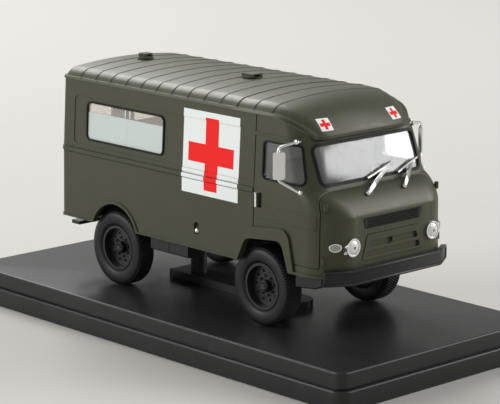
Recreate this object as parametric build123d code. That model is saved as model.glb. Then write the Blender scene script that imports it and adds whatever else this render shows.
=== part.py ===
"""Display scale model of an all-wheel-drive ambulance van on its plinth, 1:43, in millimetres.

Frame: +X towards the van's nose, +Y to its left, +Z up, origin at the centre of the plinth's underside.
The van is drawn from its rear axle and from the plinth's top, then moved into that frame.
"""
import os
from collections import namedtuple
from functools import lru_cache
from math import cos, radians, sin

from build123d import *

# Plinth
SLAB_LENGTH = 151.0
SLAB_WIDTH = 73.0
SLAB_HEIGHT = 4.0
GROOVE_HEIGHT = 0.5
GROOVE_DEPTH = 0.6
SKIRT_HEIGHT = 5.0
LEDGE = 1.0
PLINTH_CORNER = 2.5
PLINTH_WALL = 2.4
PLINTH_EDGE = 0.5
GROUND = SKIRT_HEIGHT + GROOVE_HEIGHT + SLAB_HEIGHT
REAR_AXLE_X = -28.0

# Pedestal and its screws
PEDESTAL_REAR = 2.6
PEDESTAL_FRONT = 54.8
PEDESTAL_WIDTH = 7.8
PEDESTAL_THICKNESS = 2.2
PILLAR_RADIUS = 2.3
PILLAR_X = (10.7, 45.0)
SCREW_RADIUS = 0.95
SCREW_HEAD_RADIUS = 1.9
SCREW_HEAD_HEIGHT = 1.3
SCREW_BITE = 1.6
SCREW_CLEARANCE = 0.05
BOSS_RADIUS = 3.6
BOSS_FOOT = 1.6

# Wheels and axles
WHEELBASE = 58.5
TYRE_RADIUS = 10.45
TYRE_GAP = 0.15
TYRE_MIDDLE_Y = 18.5
TYRE_HALF = 2.9
TYRE_BEAD = 6.2
SHOULDER_DROP = 0.4
SHOULDER_WIDTH = 0.8
DISH_DEPTH = 2.0
RIM_LIP = 0.6
HUB_RADIUS = 1.7
DISC_THICKNESS = 1.2
VENT_CIRCLE = 3.9
VENT_RADIUS = 0.35
VENT_STEP = 36
PIN_RADIUS = 0.75
PIN_CLEARANCE = 0.05
AXLE_Z = TYRE_RADIUS + TYRE_GAP
HOUSING_RADIUS = 1.7
HOUSING_END_Y = 13.0
DIFFERENTIAL_RADIUS = 3.5
DRIVE_LINE_Y = 3.8
DRIVE_LINE_RISE = 1.4
SHAFT_RADIUS = 0.8
SPRING_HALF = 11.5
SPRING_LEAF = 1.0
SPRING_WIDTH = 1.8

# Body
WALL = 1.2
BODY_REAR = -22.2
SILL_Z = 17.0
BELT_Z = 36.3
GUTTER_Z = 56.0
HALF_SILL = 22.95
HALF_BELT = 22.6
HALF_GUTTER = 21.5
REAR_CORNER = 2.2
SEAM_X = 57.3
SEAM_GAP = 0.3
SEAM_DEPTH = 0.35
ROOF_CROWN = 60.0
ROOF_SIDE_TOP = 58.4
ROOF_SHOULDER = 4.4
SCREEN_FOOT_X = 78.4
SCREEN_FOOT_Z = 38.5
SCREEN_SLOPE = 0.352
GUTTER_ARC_X = 62.0
GUTTER_END_X = 74.2
GUTTER_END_Z = 51.0
GUTTER_LIP = 0.55
GUTTER_LIP_HEIGHT = 0.7
RIB_COUNT = 13
RIB_FIRST = -14.8
RIB_PITCH = 6.4
RIB_WIDTH = 0.4
RIB_RISE = 0.12
RIB_FOOT = 56.8
BELT_HALF = 0.55
BELT_RISE = 0.25
BELT_GROOVE = 0.3
PRESSING_DEPTH = 0.18
SILL_LIP = 0.3
SILL_LIP_HEIGHT = 0.5
FLARE_RISE = 0.7
ARCH_LIP = 0.35
ARCH_LIP_WIDTH = 0.8
REAR_SEAM_Y = 19.4
CAB_FOOT = 17.6

# Glazing
SEAL_RISE = 0.15
PANE_OUTSIDE = 0.3
PANE_INSIDE = 0.9

# Frame under the floor
FLOOR_THICKNESS = 1.4
RAIL_FOOT = 14.6
RAIL_INNER_Y = 6.8
RAIL_OUTER_Y = 8.8
RAIL_REAR = -20.0
RAIL_FRONT = 84.0
CROSS_HALF = 3.2
CROSS_X = (-15.3, *PILLAR_X, 78.0)
WELL_HALF = 12.4
WELL_INNER_Y = 14.2
WELL_TOP = 24.4
WELL_WALL = 0.9
FLOOR_TOP = SILL_Z + FLOOR_THICKNESS
SEAT_FOOT = WELL_TOP + WELL_WALL

WheelArch = namedtuple("WheelArch", "x z radius")
REAR_ARCH = WheelArch(1.7, 13.7, 9.8)
FRONT_OPENING = [(47.9, 8.0), (74.4, 8.0), (68.4, 24.8), (55.0, 23.4)]
FLARE_OUTLINE = [(46.1, 8.0), (75.2, 8.0), (70.6, 28.2), (55.2, 26.6)]
OPENING_CORNER = 2.8
FLARE_CORNER = 3.4

# Plan outlines of the cab, from the sill up
Level = namedtuple("Level", "z front corner")
CAB_SKIRT = Level(SILL_Z - 2, 85.2, 9.2)
CAB_NOSE = (Level(32.2, 85.2, 9.2), Level(34.3, 84.0, 8.6), Level(36.7, 81.6, 7.6),
            Level(SCREEN_FOOT_Z, SCREEN_FOOT_X, 6.5))
CAB_TOP = Level(58.0, SCREEN_FOOT_X - SCREEN_SLOPE * (58.0 - SCREEN_FOOT_Z), 6.5)

# Cross outlines of the roof, from the level length to the visor
Arch = namedtuple("Arch", "x half side_top crown shoulder")
DOME = (Arch(46.0, HALF_GUTTER, ROOF_SIDE_TOP, ROOF_CROWN, ROOF_SHOULDER),
        Arch(57.0, HALF_GUTTER, ROOF_SIDE_TOP, ROOF_CROWN, ROOF_SHOULDER),
        Arch(64.0, 21.2, 57.7, 59.6, 4.8),
        Arch(69.5, 20.1, 55.6, 57.8, 5.2),
        Arch(73.3, 18.3, 52.9, 54.9, 5.4),
        Arch(75.6, 16.5, 50.6, 52.0, 5.4))

# Window and panel outlines: side ones in x and z, front ones as a trapezium
Field = namedtuple("Field", "low_half high_half foot top radius seal")
SCREEN = Field(18.4, 18.7, 39.2, 49.9, 2.2, 0.75)
GRILLE = Field(10.0, 10.7, 28.7, 31.5, 0.2, 0.1)
HATCH = Field(11.3, 9.3, 20.5, 27.2, 0.5, 0.12)
SIDE_WINDOW = [(-11.0, 39.8), (21.8, 39.8), (21.8, 50.7), (-11.0, 50.7)]
DOOR_WINDOW = [(60.3, 39.6), (75.7, 39.6), (72.9, 49.8), (60.3, 49.8)]
SIDE_SEAL = 0.45
PRESSING = [(-16.3, 38.2), (54.2, 38.2), (54.2, 51.8), (-16.3, 51.8)]
DOOR_SEAM = [(74.4, 50.8), (79.0, 37.6), (80.6, 33.4), (80.6, 19.6)]

os.makedirs("parts", exist_ok=True)
PLACE = Pos(REAR_AXLE_X, 0, GROUND)


def block(x0, x1, y0, y1, z0, z1):
    """A box between two opposite corners."""
    return Pos((x0 + x1) / 2, (y0 + y1) / 2, (z0 + z1) / 2) * Box(abs(x1 - x0), abs(y1 - y0), abs(z1 - z0))


def slab_x(x0, x1):
    """Everything between two places along the van."""
    return block(x0, x1, -60, 60, -20, 90)


def slab_z(z0, z1):
    """Everything between two heights."""
    return block(-70, 120, -60, 60, z0, z1)


def rod_y(x, z, radius, y0=-40, y1=40):
    """A round bar across the van."""
    return Pos(x, (y0 + y1) / 2, z) * Rot(90, 0, 0) * Cylinder(radius, abs(y1 - y0))


def rod_x(y, z, radius, x0, x1):
    """A round bar along the van."""
    return Pos((x0 + x1) / 2, y, z) * Rot(0, 90, 0) * Cylinder(radius, abs(x1 - x0))


def post(x, y, radius, z0, z1):
    """An upright round bar."""
    return Pos(x, y, (z0 + z1) / 2) * Cylinder(radius, z1 - z0)


def across(x):
    """The plane across the van at one place along it: its own x is the van's y, its own y the van's z."""
    return Plane(origin=(x, 0, 0), x_dir=(0, 1, 0), z_dir=(1, 0, 0))


def bar_along(start, end, section):
    """A straight bar of one section from a point to a point."""
    line = Edge.make_line(start, end)
    return sweep(Plane(origin=line @ 0, z_dir=line % 0) * section, line)


def both_sides(shape):
    """The shape and its mirror image on the other side of the van."""
    return [shape, mirror(shape, about=Plane.XZ)]


def save(name, shape, place=PLACE):
    """Write one subcomponent, a shape or a list of like shapes."""
    pieces = shape if isinstance(shape, list) else [shape]
    solids = [s for piece in pieces for s in piece.solids()]
    body = solids[0] if len(solids) == 1 else Compound(children=solids)
    export_step(place * body, f"parts/{name}.step")


def half_width(z):
    """Half the body's width at a height: it leans out to the sill and in to the gutter."""
    if z < BELT_Z:
        return HALF_BELT + (HALF_SILL - HALF_BELT) * (BELT_Z - z) / (BELT_Z - SILL_Z)
    return HALF_BELT - (HALF_BELT - HALF_GUTTER) * (z - BELT_Z) / (GUTTER_Z - BELT_Z)


def plan(x0, x1, z, corner, grow):
    """A rounded plan outline at a height."""
    outline = RectangleRounded(x1 - x0 + 2 * grow, 2 * (half_width(z) + grow), corner + grow)
    return Pos((x0 + x1) / 2, 0, z) * outline


@lru_cache(maxsize=None)
def box_form(grow):
    """The load box as a full form, grown or shrunk by a margin."""
    levels = (CAB_SKIRT.z, BELT_Z, GUTTER_Z + 1)
    faces = [plan(BODY_REAR, SEAM_X + 20, z, REAR_CORNER, grow) for z in levels]
    form = loft(faces[:2], ruled=True) + loft(faces[1:], ruled=True)
    return form & slab_x(-60, SEAM_X)


@lru_cache(maxsize=None)
def cab_form(grow):
    """The cab as a full form: upright front, curved nose, raked screen."""

    def face(level):
        return plan(SEAM_X - 20, level.front, level.z, level.corner, grow)

    lower = loft([face(CAB_SKIRT), face(CAB_NOSE[0])], ruled=True)
    nose = loft([face(level) for level in CAB_NOSE])
    screen = loft([face(CAB_NOSE[-1]), face(CAB_TOP)], ruled=True)
    return (lower + nose + screen) & slab_x(SEAM_X, 120)


def roof_face(arch, grow):
    """The roof's outline across the van at one place along it."""
    foot = 44.0
    half = arch.half + grow
    side = arch.side_top + grow
    outline = [Line((-half, foot), (half, foot)), Line((half, foot), (half, side)),
               ThreePointArc((half, side), (0, arch.crown + grow), (-half, side)), Line((-half, side), (-half, foot))]
    face = make_face(outline)
    face = fillet([v for v in face.vertices() if v.Y > foot + 1], arch.shoulder + grow)
    reach = grow if arch is DOME[-1] else 0
    return across(arch.x + reach) * face


@lru_cache(maxsize=None)
def roof_form(grow):
    """The whole roof as a full form: a level length with a rounded rear, then a dome over the cab."""
    level = extrude(roof_face(DOME[0], grow), amount=-(DOME[0].x - BODY_REAR + grow), dir=(1, 0, 0))
    rim = [e for e in level.faces().sort_by(Axis.X)[0].edges() if e.center().Z > 45]
    level = fillet(rim, REAR_CORNER + grow)
    return level + loft([roof_face(arch, grow) for arch in DOME])


def box_skin(outside, inside=-WALL):
    """A layer of the load box between two margins."""
    return box_form(outside) - box_form(inside)


def cab_skin(outside, inside=-WALL):
    """A layer of the cab between two margins."""
    return cab_form(outside) - cab_form(inside)


@lru_cache(maxsize=None)
def above_gutter(lift):
    """Everything above the gutter's line, lifted by an amount, right across the van."""
    drop = GUTTER_Z - GUTTER_END_Z
    run = GUTTER_END_X - GUTTER_ARC_X
    radius = (run * run + drop * drop) / (2 * drop)
    middle = GUTTER_Z - radius + (radius ** 2 - run ** 2 / 4) ** 0.5
    start = (GUTTER_ARC_X, GUTTER_Z + lift)
    end = (GUTTER_END_X, GUTTER_END_Z + lift)
    corners = [end, (110, end[1]), (110, 90), (-40, 90), (-40, start[1]), start]
    arc = ThreePointArc(start, (GUTTER_ARC_X + run / 2, middle + lift), end)
    return extrude(Plane.XZ * make_face([arc, Polyline(*corners)]), amount=40, both=True)


def side_field(points, radius, inset=0.0):
    """A through-form across the van with rounded corners, from an outline seen from the side."""
    face = make_face(Polyline(*points, close=True))
    face = fillet(face.vertices(), radius)
    face = offset(face, -inset) if inset else face
    return extrude(Plane.XZ * face, amount=40, both=True)


def front_field(field, inset=0.0):
    """A through-form along the cab's front with rounded corners, from a trapezium."""
    corners = [(-field.low_half, field.foot), (field.low_half, field.foot),
               (field.high_half, field.top), (-field.high_half, field.top)]
    face = make_face(Polyline(*corners, close=True))
    face = fillet(face.vertices(), field.radius)
    face = offset(face, -inset) if inset else face
    return extrude(across(65) * face, amount=30, dir=(1, 0, 0))


def arch_form(arch, extra=0.0):
    """A wheel arch's round form across the van."""
    return rod_y(arch.x, arch.z, arch.radius + extra)


# Plinth: a two-step tray, open below, with two screw bosses
skirt = extrude(RectangleRounded(SLAB_LENGTH + 2 * LEDGE, SLAB_WIDTH + 2 * LEDGE, PLINTH_CORNER + LEDGE), SKIRT_HEIGHT)
skirt = fillet(skirt.faces().sort_by(Axis.Z)[-1].edges(), PLINTH_EDGE)
neck = RectangleRounded(SLAB_LENGTH - 2 * GROOVE_DEPTH, SLAB_WIDTH - 2 * GROOVE_DEPTH, PLINTH_CORNER)
neck = extrude(neck, SKIRT_HEIGHT + GROOVE_HEIGHT)
slab = extrude(RectangleRounded(SLAB_LENGTH, SLAB_WIDTH, PLINTH_CORNER), SLAB_HEIGHT)
slab = Pos(0, 0, GROUND - SLAB_HEIGHT) * slab
slab = fillet(slab.faces().sort_by(Axis.Z)[-1].edges(), PLINTH_EDGE)
room = 2 * (PLINTH_WALL + LEDGE)
hollow = extrude(RectangleRounded(SLAB_LENGTH - room, SLAB_WIDTH - room, PLINTH_CORNER - LEDGE), GROUND - PLINTH_WALL)
plinth = skirt + neck + slab - hollow
for x in PILLAR_X:
    plinth = plinth + post(REAR_AXLE_X + x, 0, BOSS_RADIUS, BOSS_FOOT, GROUND)
for x in PILLAR_X:
    plinth = plinth - post(REAR_AXLE_X + x, 0, SCREW_RADIUS + SCREW_CLEARANCE, -1, GROUND + 1)
save("plinth", plinth, Pos(0, 0, 0))

# Pedestal: a bar on the plinth with two pillars up to the van's frame
nose_end = post(PEDESTAL_FRONT - PEDESTAL_WIDTH / 2, 0, PEDESTAL_WIDTH / 2, 0, PEDESTAL_THICKNESS)
pedestal = nose_end + block(PEDESTAL_REAR, PEDESTAL_FRONT - PEDESTAL_WIDTH / 2, -PEDESTAL_WIDTH / 2,
                            PEDESTAL_WIDTH / 2, 0, PEDESTAL_THICKNESS)
for x in PILLAR_X:
    pedestal = pedestal + post(x, 0, PILLAR_RADIUS, 0, RAIL_FOOT)
for x in PILLAR_X:
    pedestal = pedestal - post(x, 0, SCREW_RADIUS + SCREW_CLEARANCE, -1, RAIL_FOOT + 1)
save("pedestal", pedestal)
seat_z = BOSS_FOOT - GROUND
save("pedestal_screws", [post(x, 0, SCREW_RADIUS, seat_z - 0.1, RAIL_FOOT + SCREW_BITE)
                         + post(x, 0, SCREW_HEAD_RADIUS, seat_z - SCREW_HEAD_HEIGHT, seat_z) for x in PILLAR_X])

# Van frame, floor and wheel wells
inner = box_form(-WALL) + cab_form(-WALL)
rails = both_sides(block(RAIL_REAR, RAIL_FRONT, RAIL_INNER_Y, RAIL_OUTER_Y, RAIL_FOOT, SILL_Z))
ladder = rails[0] + rails[1]
for x in CROSS_X:
    ladder = ladder + block(x - CROSS_HALF, x + CROSS_HALF, -RAIL_OUTER_Y, RAIL_OUTER_Y, RAIL_FOOT, SILL_Z)
for x in PILLAR_X:
    ladder = ladder - post(x, 0, SCREW_RADIUS + SCREW_CLEARANCE, 0, RAIL_FOOT + SCREW_BITE + SCREW_CLEARANCE)
save("frame", ladder)
floor = inner & slab_z(SILL_Z, FLOOR_TOP)
wells = {}
for end, axle_x in (("rear", 0), ("front", WHEELBASE)):
    reach = WELL_HALF + WELL_WALL
    case = block(axle_x - reach, axle_x + reach, -60, -(WELL_INNER_Y - WELL_WALL), SILL_Z, SEAT_FOOT)
    void = block(axle_x - WELL_HALF, axle_x + WELL_HALF, -61, -WELL_INNER_Y, 0, WELL_TOP)
    wells[end] = both_sides((case - void) & inner)
    save(f"wheel_wells_{end}", wells[end])
    for cut in both_sides(case):
        floor = floor - cut
save("floor_pan", floor)

# Axle housings, springs, drive line
springs = []
differentials = []
for end, axle_x in (("rear", 0), ("front", WHEELBASE)):
    ball = Pos(axle_x, DRIVE_LINE_Y, AXLE_Z) * Sphere(DIFFERENTIAL_RADIUS)
    tube = rod_y(axle_x, AXLE_Z, HOUSING_RADIUS, -HOUSING_END_Y, HOUSING_END_Y)
    differentials.append(ball)
    save(f"{end}_axle_housing", tube + ball - rod_y(axle_x, AXLE_Z, PIN_RADIUS + PIN_CLEARANCE))
    low = AXLE_Z + HOUSING_RADIUS - 0.1
    left, right = axle_x - SPRING_HALF, axle_x + SPRING_HALF
    under = ThreePointArc((left, RAIL_FOOT - SPRING_LEAF), (axle_x, low), (right, RAIL_FOOT - SPRING_LEAF))
    over = ThreePointArc((right, RAIL_FOOT), (axle_x, low + SPRING_LEAF), (left, RAIL_FOOT))
    leaf = make_face([under, Line(under @ 1, over @ 0), over, Line(over @ 1, under @ 0)])
    spring = extrude(Plane.XZ * leaf, amount=SPRING_WIDTH / 2, both=True) - tube
    springs = springs + both_sides(Pos(0, (RAIL_INNER_Y + RAIL_OUTER_Y) / 2, 0) * spring)
save("leaf_springs", springs)
transfer = block(21, 31, -2.5, 6.3, 9.8, SILL_Z)
save("transfer_case", fillet(transfer.edges().filter_by(Axis.X), 0.8))
shaft_z = AXLE_Z + DRIVE_LINE_RISE
save("drive_shafts", [rod_x(DRIVE_LINE_Y, shaft_z, SHAFT_RADIUS, 0, 21) - differentials[0],
                      rod_x(DRIVE_LINE_Y, shaft_z, SHAFT_RADIUS, 31, WHEELBASE) - differentials[1]])
locker = fillet(block(14.7, 22.2, 15.0, 21.0, 12.9, SILL_Z).edges().filter_by(Axis.X), 0.5)
save("sill_lockers", both_sides(locker) + both_sides(Pos(7.7, 0, 0) * locker))
rear_step = block(-26.0, -22.6, -16, 16, 12.6, 13.6)
for y in (-7.8, 7.8):
    rear_step = rear_step + block(-24.0, RAIL_REAR + 2.5, y - 0.9, y + 0.9, 13.2, RAIL_FOOT)
save("rear_step", rear_step)


def tyre():
    """One tyre at the origin, its axle along Z."""
    edge = TYRE_HALF - 0.25
    half = [(TYRE_BEAD, TYRE_HALF - 0.9), (7.4, TYRE_HALF - 0.1), (9.2, TYRE_HALF),
            (TYRE_RADIUS - SHOULDER_DROP, edge), (TYRE_RADIUS, edge - SHOULDER_WIDTH)]
    outline = half + [(r, -y) for r, y in reversed(half)]
    return revolve(Plane.XZ * make_face(Polyline(*outline, close=True)), Axis.Z)


def wheel():
    """One wheel at the origin, its outer face towards +Z."""
    lip = TYRE_HALF - RIM_LIP
    disc = lip - DISH_DEPTH
    bore = PIN_RADIUS
    rim = TYRE_BEAD - 0.7
    well = TYRE_BEAD - 1.0
    points = [(bore, disc - DISC_THICKNESS), (bore, lip - 0.3), (HUB_RADIUS - 0.3, lip - 0.3), (HUB_RADIUS, lip - 0.6),
              (HUB_RADIUS, disc), (well, disc), (rim, lip), (TYRE_BEAD, lip), (TYRE_BEAD, -lip), (rim, -lip),
              (well, disc - DISC_THICKNESS)]
    body = revolve(Plane.XZ * make_face(Polyline(*points, close=True)), Axis.Z)
    for angle in range(0, 360, VENT_STEP):
        spot = Pos(VENT_CIRCLE * cos(radians(angle)), VENT_CIRCLE * sin(radians(angle)), 0)
        body = body - spot * Cylinder(VENT_RADIUS, 8)
    return body


# Wheel sets: axle pin, two wheels and two tyres that turn together
for end, axle_x in (("rear", 0), ("front", WHEELBASE)):
    for side, sign in (("right", -1), ("left", 1)):
        spot = Pos(axle_x, sign * TYRE_MIDDLE_Y, AXLE_Z) * Rot(-90 * sign, 0, 0)
        save(f"tyre_{end}_{side}", spot * tyre())
        save(f"wheel_{end}_{side}", spot * wheel())
    pin_end = TYRE_MIDDLE_Y + TYRE_HALF - RIM_LIP - 0.3
    save(f"axle_pin_{end}", rod_y(axle_x, AXLE_Z, PIN_RADIUS, -pin_end, pin_end))

# Load box: shell with belt moulding, pressings, arch lips and window holes, split at the rear seams
below_roof = slab_z(SILL_Z, 90) - above_gutter(0)
box = box_skin(0) + (box_skin(ARCH_LIP) & arch_form(REAR_ARCH, ARCH_LIP_WIDTH))
box = box + (box_skin(BELT_RISE) & slab_z(BELT_Z - BELT_HALF, BELT_Z + BELT_HALF))
box = box + (box_skin(SILL_LIP) & slab_z(SILL_Z, SILL_Z + SILL_LIP_HEIGHT))
for z in (BELT_Z - BELT_HALF - BELT_GROOVE, BELT_Z + BELT_HALF):
    box = box - (box_skin(1, -BELT_RISE) & slab_z(z, z + BELT_GROOVE))
box = box - (box_skin(1, -PRESSING_DEPTH) & side_field(PRESSING, 1.6))
filler_x, filler_z = 35.5, 21.9
filler_cup = Pos(filler_x, 0, filler_z + 0.6) * Rot(90, 0, 0) * extrude(SlotOverall(3.4, 2.0, 90), 40)
box = box - (box_skin(1, -0.8) & filler_cup)
side_hole = side_field(SIDE_WINDOW, 1.8)
rear_band = block(-60, 0, -REAR_SEAM_Y, REAR_SEAM_Y, 0, 90)
flare_form = side_field(FLARE_OUTLINE, FLARE_CORNER)
box = (box - side_hole - arch_form(REAR_ARCH) - flare_form) & below_roof
side_solids = (box - rear_band).solids()
save("side_panel_right", [s for s in side_solids if s.center().Y < 0])
save("side_panel_left", [s for s in side_solids if s.center().Y > 0])

rear = box & rear_band
pane_spot = across(-60) * Pos(9.6, 44.9)
rear_hole = extrude(pane_spot * RectangleRounded(12.4, 9.8, 1.6), amount=60, dir=(1, 0, 0))
rear_pane = RectangleRounded(12.4 - 2 * SIDE_SEAL, 9.8 - 2 * SIDE_SEAL, 1.1)
rear_glass = extrude(pane_spot * rear_pane, amount=60, dir=(1, 0, 0))
for cut in both_sides(rear_hole):
    rear = rear - cut
door_half, door_foot, door_top = 18.4, 19.2, 53.6
outline = block(-60, 0, -door_half, door_half, door_foot, door_top)
outline = outline - block(-61, 1, SEAM_GAP - door_half, door_half - SEAM_GAP, door_foot + SEAM_GAP, door_top - SEAM_GAP)
outline = outline + block(-60, 0, -SEAM_GAP / 2, SEAM_GAP / 2, door_foot, door_top)
rear = rear - (outline & box_skin(1, -SEAM_DEPTH))
save("rear_panel", rear)

# Cab: shell with door seams, windows, grille and hatch holes
cab = cab_skin(0) & below_roof & slab_z(CAB_FOOT, 90)
cab = cab + (cab_skin(0.16) & block(SEAM_X + 1.2, 79.8, -60, 60, 29.3, 32.7))
ledge = cab_skin(0.6) & block(71.0, 82.4, -60, 60, SILL_Z, SILL_Z + 0.7)
cab = cab + ledge
cab = cab + (cab_skin(0.35) & block(SEAM_X, 72.6, -60, 60, 50.8, 51.4) & below_roof)
cab = cab - flare_form - side_field(DOOR_WINDOW, 1.5) - front_field(SCREEN)
cab = cab - front_field(GRILLE) - front_field(HATCH)
groove = cab_skin(1.5, -SEAM_DEPTH)
for (x0, z0), (x1, z1) in zip(DOOR_SEAM, DOOR_SEAM[1:]):
    strip = Polyline((x0 - 0.15, z0), (x0 + 0.15, z0), (x1 + 0.15, z1), (x1 - 0.15, z1), close=True)
    cab = cab - (extrude(Plane.XZ * make_face(strip), amount=40, both=True) & groove)
cab = cab - (groove & block(SEAM_X, SEAM_X + SEAM_GAP, -60, 60, 0, 90))
cab = cab - (groove & block(SEAM_X + 1.2, 80.6, -60, 60, 19.3, 19.6))
cab = cab - (cab_skin(1, -0.6) & block(59.3, 60.5, -60, 60, 32.1, 36.0))
save("cab_shell", cab)
flare = (box_form(FLARE_RISE) + cab_form(FLARE_RISE) - inner) & flare_form & slab_z(SILL_Z, 60)
save("front_arch_flares", (flare - side_field(FRONT_OPENING, OPENING_CORNER)).solids())

# Roof: arched shell with cross ribs, gutter lip and two vents
roof = (roof_form(0) - roof_form(-WALL)) & above_gutter(0)
ribs = (roof_form(RIB_RISE) - roof_form(-WALL / 2)) & slab_z(RIB_FOOT, 90)
for i in range(RIB_COUNT):
    x = RIB_FIRST + i * RIB_PITCH
    roof = roof + (ribs & slab_x(x - RIB_WIDTH / 2, x + RIB_WIDTH / 2))
strip = above_gutter(0) - above_gutter(GUTTER_LIP_HEIGHT)
roof = roof + ((roof_form(GUTTER_LIP) - roof_form(-WALL / 2)) & strip)
save("roof", roof)
Vent = namedtuple("Vent", "x half flange rise")
vents = []
for vent in (Vent(-11.5, 1.4, 2.3, 1.7), Vent(32.6, 2.0, 2.7, 1.2)):
    top = ROOF_CROWN + vent.rise
    stack = block(vent.x - vent.half, vent.x + vent.half, -vent.half, vent.half, ROOF_CROWN - 1, top)
    brim = post(vent.x, 0, vent.flange, ROOF_CROWN - 1, ROOF_CROWN + 0.5)
    mouth = block(vent.x, vent.x + 3, -vent.half * 0.55, vent.half * 0.55, top - 0.8, top - 0.3)
    vents.append(stack + brim - mouth - roof_form(RIB_RISE))
save("roof_vents", vents)

# Glazing: each pane sits in a black seal that fills the edge of its hole
box_seal, box_pane = box_skin(SEAL_RISE, -WALL), box_skin(-PANE_OUTSIDE, -PANE_INSIDE)
cab_seal, cab_pane = cab_skin(SEAL_RISE, -WALL), cab_skin(-PANE_OUTSIDE, -PANE_INSIDE)
side_glass = side_field(SIDE_WINDOW, 1.8, SIDE_SEAL)
door_hole, door_glass = side_field(DOOR_WINDOW, 1.5), side_field(DOOR_WINDOW, 1.5, SIDE_SEAL)
screen_hole, screen_glass = front_field(SCREEN), front_field(SCREEN, SCREEN.seal)
sides_only = block(-15, SEAM_X, -60, 60, 30, 60)
rings = [box_seal & (side_hole - side_glass) & sides_only, *both_sides(box_seal & (rear_hole - rear_glass)),
         cab_seal & (door_hole - door_glass), cab_seal & (screen_hole - screen_glass)]
save("window_seals", rings)
save("side_windows", box_pane & side_glass & sides_only)
save("rear_windows", both_sides(box_pane & rear_glass))
save("door_windows", cab_pane & door_glass)
save("windscreen", cab_pane & screen_glass)

# Front fittings
bow = [(87.0, -16.2), (87.0, 16.2), (83.2, 22.5), (82.2, 21.9),
       (85.8, 15.6), (85.8, -15.6), (82.2, -21.9), (83.2, -22.5)]
bumper = extrude(make_face(Polyline(*bow, close=True)), 3.7)
save("front_bumper", Pos(0, 0, 15.4) * bumper)
irons = block(RAIL_FRONT - 3.0, 85.8, 9.7, 11.5, 15.6, SILL_Z)
irons = irons + block(RAIL_FRONT - 3.0, RAIL_FRONT - 1.0, RAIL_OUTER_Y, 10.0, 15.6, SILL_Z)
save("bumper_irons", both_sides(irons))
Lamp = namedtuple("Lamp", "y z radius rim")
HEADLIGHT = Lamp(14.6, 24.7, 2.35, 0.4)
socket = rod_x(-HEADLIGHT.y, HEADLIGHT.z, HEADLIGHT.radius - HEADLIGHT.rim, 80, 90)
bezel = rod_x(-HEADLIGHT.y, HEADLIGHT.z, HEADLIGHT.radius, 82.0, 85.8)
bezel = bezel + Pos(84.8, -HEADLIGHT.y - 2.0, HEADLIGHT.z - 1.3) * Sphere(0.6)
lens_ball = Pos(82.7, -HEADLIGHT.y, HEADLIGHT.z) * Rot(0, 90, 0) * Sphere(3.5)
save("headlight_bezels", both_sides(bezel - socket - cab_form(0)))
save("headlight_lenses", both_sides((socket & lens_ball) - cab_form(0)))
spot = Pos(83.9, -19.3, 25.0) * Rot(0, 0, -45) * Rot(0, 90, 0)
indicator_hull = spot * extrude(Ellipse(1.1, 1.65), 5, both=True)
indicator_lens = spot * extrude(Ellipse(0.85, 1.35), 5, both=True)
near_side = block(60, 120, -60, 0, 0, 60)
save("indicator_bezels", both_sides((indicator_hull - indicator_lens) & cab_skin(0.45, 0) & near_side))
save("indicators", both_sides(indicator_lens & cab_skin(0.6, 0) & near_side))
SLAT_COUNT = 5
SLAT_PITCH = 0.48
grille = cab_skin(0.12, -WALL) & front_field(GRILLE, GRILLE.seal)
for i in range(SLAT_COUNT):
    z = GRILLE.foot + 0.45 + i * SLAT_PITCH
    grille = grille - (cab_skin(1, -0.35) & block(80, 90, -9.3, 9.3, z - 0.12, z + 0.12))
save("grille", grille)
hatch = cab_skin(0.15, -WALL) & front_field(HATCH, HATCH.seal)
Hollow = namedtuple("Hollow", "low_half high_half foot top")
for hollow in (Hollow(10.2, 9.6, 21.3, 22.9), Hollow(9.3, 8.7, 23.7, 25.4)):
    field = front_field(Field(*hollow, 0.5, 0.0))
    hatch = hatch - (cab_skin(1, -0.5) & field)
hatch = hatch + (cab_skin(0.3, -WALL) & block(80, 90, -0.35, 0.35, 24.0, 25.2))
save("engine_hatch", hatch)
step_outline = Polyline((72.4, SILL_Z), (72.4, 13.2), (79.2, 13.9), (81.6, 14.9), (81.6, SILL_Z), close=True)
step = Pos(0, -14.0, 0) * extrude(Plane.XZ * make_face(step_outline), 7.9)
low_edges = step.faces().sort_by(Axis.Y)[0].edges().sort_by(Axis.Z)[:2]
save("cab_steps", both_sides(fillet(low_edges, 0.5)))

# Side and rear fittings
handle = block(58.5, 59.2, -23.4, -22.0, 32.2, 35.9) - cab_form(0) - cab
rear_handle = block(BODY_REAR - 0.6, BODY_REAR, -2.2, -0.8, 33.0, 33.7)
save("door_handles", both_sides(handle) + [rear_handle])
hinges = [post(81.4, y, 0.55, z, z + 1.8) - cab_form(0) - cab for y, z in ((-21.1, 20.6), (-20.4, 34.2))]
hinges = hinges + [post(BODY_REAR - 0.2, -door_half, 0.45, z, z + 2.0) - box_form(0) for z in (23.0, 32.4, 48.6)]
save("door_hinges", [piece for hinge in hinges for piece in both_sides(hinge)])
cap = Pos(filler_x, -half_width(filler_z) + 0.5, filler_z - 0.1) * Sphere(0.85)
save("fuel_filler", cap - (box_form(0) - (box_skin(1, -0.8) & filler_cup)))
save("tail_lamps", both_sides(block(BODY_REAR - 0.7, BODY_REAR, 18.9, 20.1, 21.0, 24.6) - box_form(0)))

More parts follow.
